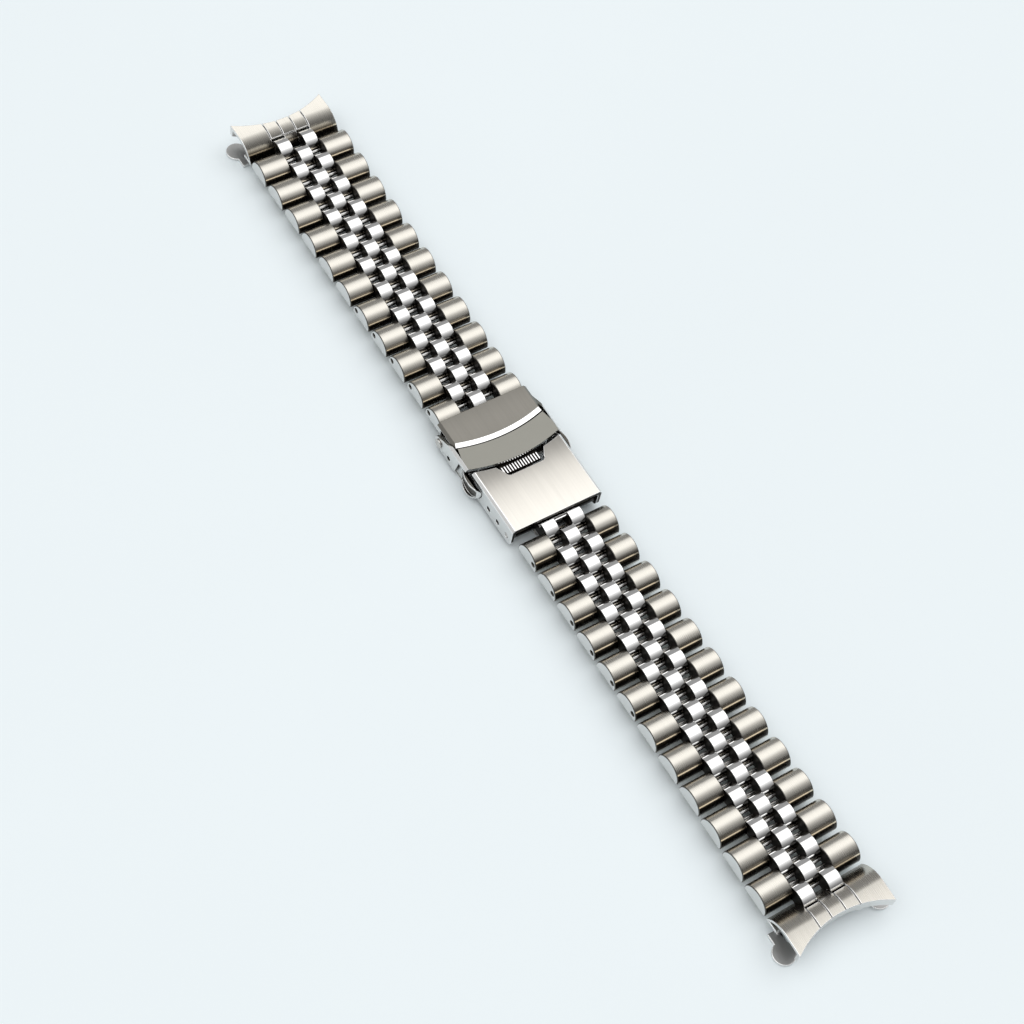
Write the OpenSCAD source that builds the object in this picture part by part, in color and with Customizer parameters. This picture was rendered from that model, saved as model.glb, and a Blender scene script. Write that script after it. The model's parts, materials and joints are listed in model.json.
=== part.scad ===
// Steel watch bracelet: two tapering straps of pinned links, a folding clasp
// with a flip lock and push buttons, and hollow end links for the watch.
// Millimetres. X runs along the strap, Y across it, Z up from the surface it
// lies on. Places along X are counted from the cover's free edge, and every
// piece is then shifted so that the origin is at the middle of the bracelet.

/* [Strap] */
// Distance between the watch's lugs, over the tips of an end link
lug_width = 20; // [18:0.5:22]
// Width over the link row next to an end link
wide_row = 19.9; // [18.5:0.1:20]
// Width over the link row next to the clasp
narrow_row = 18; // [16.5:0.1:18.4]
// Link rows on the strap that hinges on the lower blade
upper_rows = 11; // [8:1:11]
// Link rows on the strap that hinges on the connector
lower_rows = 12; // [8:1:12]
// Distance from one outer row to the next
link_pitch = 6.6; // [6.5:0.02:7]
// Distance between the two pins of an outer row
pin_span = 3.6; // [3.5:0.05:3.7]
// Length of an outer link
link_length = 5.9; // [5.6:0.05:5.9]
// Length of a polished bead
bead_length = 5.1; // [4.8:0.05:5.2]
// Width of a polished bead
bead_width = 2.7; // [2.5:0.05:2.8]
// Radius of the low lips that close the gap between beads
lip_radius = 0.45; // [0.35:0.01:0.45]
// Height of a link
link_height = 3.4; // [3.2:0.1:3.6]
// Height of the pins over the underside of the links
pin_lift = 1.4; // [1.3:0.05:1.5]
// Radius of a link pin
pin_radius = 0.4; // [0.3:0.01:0.42]
// Gap between pieces that lie side by side in a row
side_gap = 0.08; // [0.06:0.01:0.12]
// Height of the links over the surface that the clasp lies on
strap_lift = 2.3; // [2.2:0.05:2.5]

/* [End link] */
// Radius of the watch case that the end link's curved edge follows
case_radius = 19.3; // [17:0.1:24]
// Distance from the end link's pin to the deepest point of its curved edge
nose_depth = 4.4; // [4.2:0.05:4.8]
// Wall of the folded shell
shell_wall = 0.7; // [0.5:0.05:0.8]
// Distance from the end link's pin to its spring bar tube
tube_reach = 2.8; // [2.7:0.05:3]
// Radius of the bore for the spring bar
tube_bore = 0.85; // [0.75:0.05:0.95]
// Wall of the spring bar tube
tube_wall = 0.35; // [0.3:0.05:0.45]
// Length of the spring bar tube
tube_length = 15.2; // [13:0.1:15.6]
// Radius of the round end of a side tongue
tongue_radius = 2.1; // [1.8:0.1:2.3]

/* [Clasp cover] */
// Length of the cover at its sides
cover_length = 14.2; // [14:0.1:14.6]
// Width of the cover
cover_width = 19.2; // [18.8:0.1:19.6]
// Height of the cover's top
cover_top = 5.9; // [5.8:0.05:6.2]
// Thickness of the cover's top
cover_plate = 0.8; // [0.6:0.05:0.85]
// Thickness of the side walls
side_wall = 0.7; // [0.6:0.05:0.75]
// Depth of the curve in the cover's free edge
edge_curve = 1.45; // [1.2:0.05:1.6]
// Distance between the size adjusting holes
adjust_step = 3.1; // [2.8:0.05:3.15]
// Radius of the size adjusting holes
adjust_hole = 0.55; // [0.5:0.01:0.6]
// Height of the side walls' lower edge over the surface
wall_bottom = 1; // [0.8:0.05:1.2]
// Radius of the walls' lower rear corner
wall_corner = 1.2; // [0.8:0.1:1.6]
// Width of the bevel along the cover's long edges
cover_bevel = 0.5; // [0.3:0.05:0.7]

/* [Folding blades] */
// Width of the blades
blade_width = 7.4; // [7:0.1:7.6]
// Thickness of the blades
blade_plate = 0.6; // [0.5:0.05:0.65]
// Radius of the blades' knuckles
knuckle_radius = 0.75; // [0.7:0.01:0.78]
// Distance from the cover's free edge to its hinge
cover_hinge_x = 4.9; // [4.8:0.05:5]
// Distance from the cover's free edge to the hinge between the blades
blade_hinge_x = 13.6; // [13.5:0.05:13.7]

/* [End plate and flip lock] */
// Thickness of the end plate and of the lock's bar
lock_plate = 0.7; // [0.6:0.05:0.75]
// Gap between the lock's bar and the cover's edge
lock_gap = 0.8; // [0.7:0.05:0.9]
// Width of the lock's bar at its middle
bar_width = 5; // [4.9:0.05:5.1]
// Distance from the cover's free edge back to the lock's pivot
lock_pivot_x = 9.9; // [9.8:0.05:10]
// Height of the lock's pivot
lock_pivot_z = 2.6; // [2.5:0.05:2.8]
// Ribs on the thumb tab
tab_ribs = 14; // [8:1:16]

/* [Push buttons] */
// Length of a button's pad
button_length = 6.4; // [5.8:0.1:6.4]
// Height of a button's pad
button_height = 3.7; // [3.3:0.1:3.8]
// How far a pad stands out of the side wall
button_bulge = 1.1; // [0.9:0.05:1.2]

/* [Hidden] */
$fn = 48;

// Fits: a pin held in its hole, and a pin that turns in it
held_fit = 0.02;
turning_fit = 0.06;
cut = 0.5;
// Longer than any piece, for cuts that run right through
far = 60;

inner_span = link_pitch - pin_span;
link_half = link_length / 2;
bead_half = bead_length / 2;
pin_z = strap_lift + pin_lift;
crest_z = strap_lift + link_height;
mid_bead_y = bead_width / 2;
side_bead_y0 = mid_bead_y + side_gap;
side_bead_y1 = side_bead_y0 + bead_width;
outer_link_y = side_bead_y1 + side_gap;
pin_recess = 0.4;
// How far a bead's lip stands out of its round end, and its lowest point
lip_out = 0.48;
lip_low = 0.3;
blind_depth = 1;

// Places along the strap
plate_pin_x = -12.4;
connector_pin_x = 16.9;
adjust_first_x = 6.4;
spring_bar_x = adjust_first_x + 2 * adjust_step;
spring_bar_z = 2.6;
upper_end_pin_x = plate_pin_x - link_pitch * upper_rows;
lower_end_pin_x = connector_pin_x + link_pitch * lower_rows;
// Round back of an end link, and where its crest lies
end_round = 4.9;
end_crest = -3.2;
// The sheet's turned-in edge: where it ends, and its height
hem_end = -1.3;
hem_height = 0.6;
tip_reach = nose_depth + case_radius - sqrt(pow(case_radius, 2) - pow(lug_width / 2, 2));
middle_x = (upper_end_pin_x + lower_end_pin_x) / 2;

// Clasp
cover_y = cover_width / 2;
cover_inner_y = cover_y - side_wall;
cover_under = cover_top - cover_plate;
cover_hinge_z = 4.2;
blade_hinge_z = knuckle_radius + 0.1;
blade_y = blade_width / 2;
ear_y = blade_y + 1.3;
edge_radius = (pow(cover_y, 2) + pow(edge_curve, 2)) / (2 * edge_curve);
edge_centre = edge_curve - edge_radius;
lock_top = cover_top - 0.15;
lock_under = lock_top - lock_plate;
plate_gap = 0.3;
inner_edge_radius = 32.5;
inner_edge_x = edge_curve - lock_gap - bar_width;
inner_edge_centre = inner_edge_x - inner_edge_radius;
lock_inner_y = cover_y + side_gap;
lock_y = lock_inner_y + 0.55;
lock_pin = 0.6;
lock_pin_head = 0.95;
button_x = 0.6;
button_top = 4.35;
button_stem_x = -1.55;
button_stem_z = 2.8;
button_stem = 0.5;
button_travel = 0.8;
guide_x = -3.55;
guide_y = cover_y + 0.06 - button_travel - 0.3;

function two_digits(n) = n < 10 ? str("0", n) : str(n);

// A side outline, extruded across the strap from y0 to y1
module across(y0, y1) {
    rotate([90, 0, 0]) translate([0, 0, -y1]) linear_extrude(y1 - y0) children();
}

// A cross section, extruded along the strap from x0 to x1
module along(x0, x1) {
    rotate([90, 0, 90]) translate([0, 0, x0]) linear_extrude(x1 - x0) children();
}

// A plan outline, extruded upwards from z0 to z1
module upright(z0, z1) {
    translate([0, 0, z0]) linear_extrude(z1 - z0) children();
}

module both_sides() {
    children();
    mirror([0, 1, 0]) children();
}

// A round bar or hole across the strap
module bar_across(x, z, r, y0, y1) {
    across(y0, y1) translate([x, z]) circle(r);
}

// Side outline of a link or bead: a round back over a flat underside
module back_outline(half) {
    corner = link_height - half;
    translate([0, corner]) intersection() {
        circle(half);
        translate([-half, 0]) square([2 * half, half]);
    }
    translate([corner - half, 0]) square([2 * (half - corner), corner]);
    for (side = [-1, 1])
        translate([side * (half - corner), corner]) circle(corner);
}

// Side outline of a bead, with a low lip on the given sides
module bead_outline(lips = [-1, 1]) {
    back_outline(bead_half);
    lip_x = bead_half + lip_out - lip_radius;
    for (side = lips) translate([0, lip_low]) {
        translate([side * lip_x, lip_radius]) circle(lip_radius);
        translate([min(0, side * lip_x), 0]) square([lip_x, 2 * lip_radius]);
    }
}

// One outer link with its two pin holes; open is the pin that shows, or 0
module outer_link(half_width, open) {
    difference() {
        across(outer_link_y, half_width) back_outline(link_half);
        for (side = [-1, 1])
            bar_across(side * pin_span / 2, pin_lift, pin_radius + held_fit, outer_link_y - cut,
                       side == open ? half_width + cut : half_width - blind_depth);
    }
}

// Two outer links, the centre bead and the two pins that hold them
module outer_row(x, half_width, open) {
    translate([x, 0, strap_lift]) {
        color("silver") both_sides() outer_link(half_width, open);
        color("gainsboro") difference() {
            across(-mid_bead_y, mid_bead_y) bead_outline();
            for (side = [-1, 1])
                bar_across(side * pin_span / 2, pin_lift, pin_radius + held_fit,
                           -mid_bead_y - cut, mid_bead_y + cut);
        }
        color("dimgray") for (side = [-1, 1]) {
            reach = half_width - (side == open ? pin_recess : blind_depth + held_fit);
            bar_across(side * pin_span / 2, pin_lift, pin_radius, -reach, reach);
        }
    }
}

// Two side beads that turn on the pins of their neighbours
module inner_row(x, lips) {
    color("gainsboro") translate([x, 0, strap_lift]) both_sides() difference() {
        across(side_bead_y0, side_bead_y1) bead_outline(lips);
        for (side = [-1, 1])
            bar_across(side * inner_span / 2, pin_lift, pin_radius + turning_fit,
                       side_bead_y0 - cut, side_bead_y1 + cut);
    }
}

// Side outline of an end link: a long round back over its pin, then a slope
module end_outline(grow = 0) {
    slope_end = -nose_depth - 4;
    drop = 0.35;
    intersection() {
        translate([end_crest, link_height - end_round]) circle(end_round + grow);
        translate([end_crest, 0]) square([end_round + 1, link_height]);
    }
    polygon([[end_crest, 0], [end_crest, link_height + grow],
             [slope_end, link_height - drop + grow], [slope_end, 0]]);
}

// The space inside the folded sheet, open downwards but for the sheet's front
// edge, which is turned in under the pin
module end_hollow() {
    difference() {
        translate([0, -cut]) end_outline(cut - shell_wall);
        translate([hem_end, -1]) square([far, 1 + hem_height]);
    }
}

// The edge that fits the watch case, as a plan outline out to a radius
module case_disc(grow) {
    translate([-nose_depth - case_radius, 0]) circle(case_radius + grow);
}

module end_plan() {
    polygon([[1.3, -wide_row / 2], [1.3, wide_row / 2],
             [-tip_reach, lug_width / 2], [-tip_reach, -lug_width / 2]]);
}

// Folded end link, drawn with its pin over the origin and the watch at -X
module end_link_shell() {
    tube_z = pin_lift - 0.15;
    seam = 0.16;
    seam_depth = 0.7;
    strip_front = -0.9;
    knuckle_end = 1;
    tongue_x = 2.7 - tip_reach;
    tongue_y = lug_width / 2 - 0.1;
    tongue_plate = 0.6;
    post_y = lug_width / 2 - 1.6;
    post_end = -0.5;
    difference() {
        union() {
            intersection() {
                union() {
                    // the two outer strips, hollow and open at the sides
                    both_sides() difference() {
                        across(outer_link_y, lug_width) end_outline();
                        across(outer_link_y + 0.9, lug_width + 1) end_hollow();
                    }
                    // the strips behind the side beads
                    across(-outer_link_y - 0.1, outer_link_y + 0.1) intersection() {
                        end_outline();
                        translate([strip_front - far, link_height - 1.1]) square([far, 2]);
                    }
                    // the centre strip's knuckle, a little lower than the strips
                    across(-mid_bead_y, mid_bead_y) intersection() {
                        end_outline(-0.12);
                        translate([-1.9, 0]) square([1.9 + knuckle_end, link_height]);
                    }
                }
                upright(-1, link_height + 1) end_plan();
            }
            // turned-down lip along the curved edge
            intersection() {
                across(-lug_width, lug_width) end_outline();
                upright(0.7, link_height + 1) intersection() {
                    case_disc(shell_wall);
                    end_plan();
                }
            }
            bar_across(-tube_reach, tube_z, tube_bore + tube_wall, -tube_length / 2,
                       tube_length / 2);
            // side tongues on the surface, each on a post bent down from the hem
            both_sides() {
                upright(-strap_lift, tongue_plate - strap_lift) {
                    translate([tongue_x, tongue_y]) circle(tongue_radius);
                    translate([tongue_x, post_y - 0.1])
                        square([post_end - tongue_x, tongue_radius + 0.1]);
                }
                across(post_y, post_y + tongue_plate) translate([hem_end, -strap_lift])
                    square([post_end - hem_end, strap_lift + hem_height / 2]);
            }
        }
        upright(-0.6, link_height + 1) case_disc(0);
        bar_across(-tube_reach, tube_z, tube_bore, -far, far);
        bar_across(0, pin_lift, pin_radius + held_fit, -outer_link_y - 0.6, outer_link_y + 0.6);
        // seams between the five strips of the folded sheet
        both_sides() for (y = [mid_bead_y, outer_link_y - side_gap])
            translate([strip_front - far, y, link_height - seam_depth]) cube([far, seam, 1]);
    }
}

module end_link(x, facing) {
    translate([x, 0, strap_lift]) mirror([facing > 0 ? 1 : 0, 0, 0]) {
        color("lightgray") end_link_shell();
        color("dimgray") bar_across(0, pin_lift, pin_radius, -outer_link_y - 0.55,
                                    outer_link_y + 0.55);
    }
}

// Curved edge of the cover, moved towards the straps by a gap
module edge_disc(gap) {
    translate([edge_centre, 0]) circle(edge_radius - gap);
}

module notch_plan() {
    depth = 3.6;
    corner = 0.8;
    half = 4.1;
    flare = 2.8;
    polygon([[-2, half + flare], [depth - corner, half],
             [depth - corner, -half], [-2, -half - flare]]);
    for (side = [-1, 1])
        translate([depth - corner, side * (half - corner)]) circle(corner);
    translate([depth - corner - 0.1, corner - half])
        square([corner + 0.1, 2 * (half - corner)]);
}

// Half-moon outline of a button, seen from the side
module button_outline(grow) {
    radius = (pow(button_length / 2, 2) + pow(button_height, 2)) / (2 * button_height);
    translate([button_x, button_top - button_height]) intersection() {
        translate([0, radius]) circle(radius + grow);
        translate([-button_length, -grow]) square([2 * button_length, button_height + 2 * grow]);
    }
}

module cover_section() {
    shoulder = cover_top - cover_bevel;
    difference() {
        polygon([[-cover_y, wall_bottom], [-cover_y, shoulder], [cover_bevel - cover_y, cover_top],
                 [cover_y - cover_bevel, cover_top], [cover_y, shoulder], [cover_y, wall_bottom]]);
        polygon([[-cover_inner_y, -1], [-cover_inner_y, cover_under - 0.5],
                 [0.5 - cover_inner_y, cover_under], [cover_inner_y - 0.5, cover_under],
                 [cover_inner_y, cover_under - 0.5], [cover_inner_y, -1]]);
    }
}

module clasp_cover() {
    color("silver") difference() {
        union() {
            difference() {
                along(-0.5, cover_length) cover_section();
                upright(-1, cover_top + 1) edge_disc(0);
                upright(cover_under - 1, cover_top + 1) notch_plan();
            }
            // ears for the hinge of the middle blade
            both_sides() across(blade_y + 0.2, ear_y) {
                translate([cover_hinge_x, cover_hinge_z]) circle(0.9);
                translate([cover_hinge_x - 0.9, cover_hinge_z])
                    square([1.8, cover_under - cover_hinge_z + 0.2]);
            }
        }
        bar_across(cover_hinge_x, cover_hinge_z, pin_radius + held_fit, -ear_y - cut, ear_y + cut);
        for (step = [0 : 2])
            bar_across(adjust_first_x + step * adjust_step, spring_bar_z, adjust_hole,
                       -cover_width, cover_width);
        // half-moon cut-outs that the pressed buttons enter
        across(-cover_width, cover_width) button_outline(0.12);
        // rounded lower corners at the rear
        across(-cover_width, cover_width)
            translate([cover_length - wall_corner, wall_bottom + wall_corner]) difference() {
                translate([0, -2 * wall_corner]) square(2 * wall_corner);
                circle(wall_corner);
            }
    }
}

module cover_hinge_pin() {
    color("dimgray") bar_across(cover_hinge_x, cover_hinge_z, pin_radius, 0.05 - ear_y, ear_y - 0.05);
}

module spring_bar() {
    color("gray") {
        bar_across(spring_bar_x, spring_bar_z, adjust_hole + 0.2,
                   0.15 - cover_inner_y, cover_inner_y - 0.15);
        bar_across(spring_bar_x, spring_bar_z, adjust_hole - 0.05, 0.1 - cover_y, cover_y - 0.1);
    }
}

module middle_blade() {
    top = 2 * blade_plate + 0.15;
    under = blade_plate + 0.15;
    slope = cover_hinge_x + cover_hinge_z;
    flat_end = blade_hinge_x - knuckle_radius - 0.15;
    fork_y = blade_y / 2;
    color("silver") difference() {
        union() {
            across(-blade_y, blade_y) {
                translate([cover_hinge_x, cover_hinge_z]) circle(knuckle_radius);
                polygon([[cover_hinge_x - 0.2, cover_hinge_z - 0.25],
                         [cover_hinge_x + 0.25, cover_hinge_z + 0.2],
                         [slope + 0.45 - top, top], [flat_end, top],
                         [flat_end, under], [slope - 0.45 - under, under]]);
            }
            across(-fork_y, fork_y) {
                translate([blade_hinge_x, blade_hinge_z]) circle(knuckle_radius);
                translate([flat_end - 0.1, under]) square([knuckle_radius + 0.25, blade_plate]);
            }
        }
        bar_across(cover_hinge_x, cover_hinge_z, pin_radius + turning_fit, -far, far);
        bar_across(blade_hinge_x, blade_hinge_z, pin_radius + turning_fit, -far, far);
        // finger slot that lightens the blade
        upright(-1, 3) {
            translate([9, -1.4]) square([1.8, 2.8]);
            for (x = [9, 10.8]) translate([x, 0]) circle(1.4);
        }
    }
}

module lower_blade() {
    flat_end = blade_hinge_x - knuckle_radius - 0.15;
    fork_y = blade_y / 2 + 0.1;
    base_start = plate_pin_x + 0.5;
    base_end = -0.7;
    color("silver") difference() {
        union() {
            upright(0, blade_plate) {
                translate([base_end - 1, -blade_y]) square([flat_end - base_end + 1, blade_width]);
                polygon([[base_start, -cover_y + 0.8], [base_start + 0.8, -cover_y],
                         [base_end, -cover_y], [base_end, cover_y],
                         [base_start + 0.8, cover_y], [base_start, cover_y - 0.8]]);
            }
            both_sides() across(fork_y, blade_y) {
                translate([blade_hinge_x, blade_hinge_z]) circle(knuckle_radius);
                translate([flat_end - 0.1, 0.1]) square([1.1, blade_plate - 0.1]);
            }
            // low lugs for the pin of the first link row
            both_sides() across(side_bead_y0, side_bead_y1) {
                translate([plate_pin_x, pin_z]) circle(0.9);
                polygon([[plate_pin_x - 0.75, pin_z - 0.5], [plate_pin_x + 0.5, blade_plate - 0.1],
                         [plate_pin_x + 2.2, blade_plate - 0.1], [plate_pin_x + 0.5, pin_z + 0.75]]);
            }
        }
        bar_across(blade_hinge_x, blade_hinge_z, pin_radius + held_fit, -far, far);
        bar_across(plate_pin_x, pin_z, pin_radius + turning_fit, -far, far);
    }
}

module blade_hinge_pin() {
    color("dimgray") bar_across(blade_hinge_x, blade_hinge_z, pin_radius,
                                0.1 - blade_y, blade_y - 0.1);
}

module end_plate() {
    plate_start = plate_pin_x + 0.2;
    wall_start = -lock_pivot_x - 0.95;
    plate_radius = inner_edge_radius - plate_gap;
    plate_bevel = 0.9;
    bevel_slope = 0.35;
    tab_top = lock_under - 0.65;
    tab_end = edge_curve + 1;
    tab_y = 4;
    rib_step = 2 * tab_y / tab_ribs;
    color("gray") {
        difference() {
            union() {
                upright(lock_under, lock_top) intersection() {
                    translate([plate_start, -cover_y]) square([far, cover_width]);
                    translate([inner_edge_centre, 0]) circle(plate_radius);
                }
                upright(lock_under - 0.3, lock_under + 0.1) intersection() {
                    translate([wall_start, -cover_y]) square([far, cover_width]);
                    translate([inner_edge_centre, 0]) circle(plate_radius);
                }
                both_sides() across(cover_inner_y, cover_y) {
                    translate([wall_start, blade_plate]) square([4.3, lock_top - blade_plate]);
                    translate([wall_start, blade_plate])
                        square([-0.7 - wall_start, lock_under - 0.2 - blade_plate]);
                }
                // block inside each wall, which guides a button's stem
                both_sides() {
                    across(guide_y - 1, guide_y) translate([guide_x, blade_plate])
                        square([-0.8 - guide_x, button_stem_z + 1]);
                    across(guide_y - 0.1, cover_inner_y + 0.1) translate([guide_x, blade_plate])
                        square([0.7, button_stem_z + 1]);
                }
                // thumb tab, bent down under the lock's bar
                across(-tab_y, tab_y) {
                    translate([inner_edge_x - 2.4, tab_top - 0.6]) square([1.5, lock_under - tab_top + 0.6]);
                    translate([inner_edge_x - 2.4, tab_top - 0.6]) square([tab_end - inner_edge_x + 2.4, 0.6]);
                }
                for (n = [0 : tab_ribs - 1])
                    translate([edge_curve - 0.55, -tab_y + (n + 0.25) * rib_step, tab_top - 0.1])
                        cube([tab_end - edge_curve + 0.55, rib_step / 2, 0.35]);
            }
            // bevel along the curved edge
            translate([inner_edge_centre, 0, 0]) rotate_extrude($fn = 96)
                polygon([[plate_radius - plate_bevel, lock_top], [plate_radius + cut, lock_top],
                         [plate_radius + cut, lock_top - bevel_slope * (plate_bevel + cut)]]);
            // long side bevels
            both_sides() along(-far, 0)
                polygon([[cover_y - 0.6, lock_top], [cover_y + 0.1, lock_top + 0.1],
                         [cover_y + 0.1, lock_top - 0.7], [cover_y, lock_top - 0.6]]);
            bar_across(-lock_pivot_x, lock_pivot_z, lock_pin + held_fit, -far, far);
            bar_across(button_stem_x, button_stem_z, button_stem + turning_fit, -far, far);
            both_sides() across(guide_y, cover_width) intersection() {
                button_outline(0.12);
                translate([guide_x + 0.6, 0]) square([5, 5]);
            }
        }
    }
}

module flip_lock_pins() {
    color("dimgray") both_sides() {
        bar_across(-lock_pivot_x, lock_pivot_z, lock_pin, cover_inner_y + 0.05, lock_y + 0.05);
        bar_across(-lock_pivot_x, lock_pivot_z, lock_pin_head, lock_y + 0.04, lock_y + 0.3);
    }
}

module flip_lock() {
    color("darkgray") difference() {
        union() {
            upright(lock_under, lock_top) difference() {
                intersection() {
                    translate([-lock_pivot_x, -lock_y]) square([far, 2 * lock_y]);
                    edge_disc(lock_gap);
                }
                translate([inner_edge_centre, 0]) circle(inner_edge_radius);
            }
            both_sides() across(lock_inner_y, lock_y) {
                translate([-lock_pivot_x, lock_pivot_z]) circle(1.45);
                polygon([[-lock_pivot_x - 0.9, lock_pivot_z + 1.13], [-6.4, lock_top],
                         [-0.9, lock_top], [-1.05, lock_under - 0.2], [-3.4, lock_under - 0.5],
                         [-4.1, 1.1], [-4.7, 0.75], [-lock_pivot_x, lock_pivot_z - 1.45]]);
            }
        }
        bar_across(-lock_pivot_x, lock_pivot_z, lock_pin + turning_fit, -far, far);
        bar_across(-6.5, 2.1, 0.5, -far, far);
        both_sides() along(-far, far)
            polygon([[lock_y - 0.5, lock_top], [lock_y + 0.1, lock_top + 0.1],
                     [lock_y + 0.1, lock_top - 0.6], [lock_y, lock_top - 0.5]]);
    }
}

// A dished half-moon pad on a stem through the end plate's wall
module push_button() {
    bulge_radius = (pow(button_length / 2, 2) + pow(button_bulge, 2)) / (2 * button_bulge);
    pad_y = cover_y + 0.06;
    rim = 0.4;
    color("darkgray") {
        difference() {
            intersection() {
                across(pad_y, cover_y + button_bulge + 0.1) button_outline(0);
                upright(0, 5)
                    translate([button_x, cover_y + button_bulge - bulge_radius]) circle(bulge_radius + 0.1);
            }
            across(pad_y + 0.55, cover_y + 3) button_outline(-rim);
        }
        bar_across(button_stem_x, button_stem_z, button_stem, guide_y - 1.4, pad_y + 0.2);
        bar_across(button_stem_x, button_stem_z, button_stem + 0.35,
                   guide_y - 1.5, guide_y - 1.05);
    }
}

module clasp_connector() {
    bead_x = connector_pin_x - inner_span / 2;
    neck_end = bead_x - 0.4;
    neck_top = cover_under - 0.55;
    sleeve = adjust_hole + 0.2 + turning_fit;
    color("gainsboro") difference() {
        union() {
            bar_across(spring_bar_x, spring_bar_z, sleeve + 0.3,
                       0.25 - cover_inner_y, cover_inner_y - 0.25);
            across(-side_bead_y1, side_bead_y1)
                polygon([[spring_bar_x + 0.3, spring_bar_z - 0.3], [neck_end, strap_lift],
                         [neck_end, neck_top], [spring_bar_x + 0.5, neck_top],
                         [spring_bar_x, spring_bar_z + sleeve + 0.29]]);
            both_sides() across(side_bead_y0, side_bead_y1) translate([bead_x, strap_lift])
                intersection() {
                    bead_outline([1]);
                    translate([-0.5, 0]) square([bead_length, link_height]);
                }
        }
        bar_across(spring_bar_x, spring_bar_z, sleeve, -far, far);
        bar_across(connector_pin_x, pin_z, pin_radius + turning_fit, -far, far);
    }
}

// Half width of a row, narrowing evenly from the end link to the clasp
function row_half(n, rows) = (wide_row + (narrow_row - wide_row) * (n - 1) / (rows - 1)) / 2;

// Middle of an outer row, counted from its end link
function upper_row_x(n) = plate_pin_x - pin_span / 2 - link_pitch * (upper_rows - n);
function lower_row_x(n) = connector_pin_x + pin_span / 2 + link_pitch * (n - 1);

module shown(name) {
    translate([-middle_x, 0, 0]) children();
}

translate([-middle_x, 0, 0]) end_link(upper_end_pin_x, -1);  // upper_end_link
for (n = [1 : upper_rows]) {
    shown(str("upper_outer_row_", two_digits(n)))
        outer_row(upper_row_x(n), row_half(n, upper_rows), n >= 7 ? -1 : 0);
    shown(str("upper_inner_row_", two_digits(n)))
        inner_row(upper_row_x(n) - link_pitch / 2, n == 1 ? [1] : [-1, 1]);
}
shown("clasp_cover") clasp_cover();
shown("cover_hinge_pin") cover_hinge_pin();
shown("spring_bar") spring_bar();
shown("middle_blade") middle_blade();
shown("lower_blade") lower_blade();
shown("blade_hinge_pin") blade_hinge_pin();
shown("end_plate") end_plate();
shown("flip_lock_pins") flip_lock_pins();
shown("flip_lock") flip_lock();
shown("push_button_left") push_button();
shown("push_button_right") mirror([0, 1, 0]) push_button();
shown("clasp_connector") clasp_connector();
for (n = [1 : lower_rows]) {
    shown(str("lower_outer_row_", two_digits(n)))
        outer_row(lower_row_x(n), row_half(lower_rows + 1 - n, lower_rows), n <= 6 ? 1 : 0);
    shown(str("lower_inner_row_", two_digits(n)))
        inner_row(lower_row_x(n) + link_pitch / 2, n == lower_rows ? [-1] : [-1, 1]);
}
shown("lower_end_link") end_link(lower_end_pin_x, 1);
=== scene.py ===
"""Dresses a steel watch bracelet and its folding clasp, and sets up a pale studio round it."""

import json
import math

import bmesh
import bpy
from bpy.props import FloatProperty, FloatVectorProperty, PointerProperty
from bpy.types import Operator, Panel, PropertyGroup
from mathutils import Matrix, Vector

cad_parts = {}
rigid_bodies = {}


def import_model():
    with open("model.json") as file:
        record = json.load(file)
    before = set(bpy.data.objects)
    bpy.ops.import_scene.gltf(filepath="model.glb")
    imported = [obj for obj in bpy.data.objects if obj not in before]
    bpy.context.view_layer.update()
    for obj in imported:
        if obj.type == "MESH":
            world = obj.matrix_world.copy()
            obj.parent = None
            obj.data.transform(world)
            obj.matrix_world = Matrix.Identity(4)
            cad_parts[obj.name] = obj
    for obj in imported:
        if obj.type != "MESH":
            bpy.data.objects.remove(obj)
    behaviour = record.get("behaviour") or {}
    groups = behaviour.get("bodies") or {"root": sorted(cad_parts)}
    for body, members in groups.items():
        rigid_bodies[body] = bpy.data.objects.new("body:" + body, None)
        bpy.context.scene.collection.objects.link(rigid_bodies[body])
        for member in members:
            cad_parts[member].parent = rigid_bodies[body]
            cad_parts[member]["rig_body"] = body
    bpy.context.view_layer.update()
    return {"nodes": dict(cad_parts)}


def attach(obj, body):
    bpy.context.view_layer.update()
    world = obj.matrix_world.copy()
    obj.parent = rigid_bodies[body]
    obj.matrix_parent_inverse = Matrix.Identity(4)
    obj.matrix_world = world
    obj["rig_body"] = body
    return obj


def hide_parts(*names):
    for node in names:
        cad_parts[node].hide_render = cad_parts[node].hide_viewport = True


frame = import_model()

bl_info = {
    "name": "Steel Watch Bracelet",
    "version": (1, 0, 0),
    "blender": (4, 5, 0),
    "location": "View3D > Sidebar > Bracelet",
    "description": "Brushed and polished links, end links and folding clasp of a watch bracelet",
    "category": "Object",
}

MM = 0.001

# Height of the links' underside over the floor, and of a link over its underside
BASE_HEIGHT = 2.3 * MM
LINK_HEIGHT = 3.4 * MM
# Half of a bead's length along the strap
BEAD_HALF = 2.55 * MM


# Settings

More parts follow.
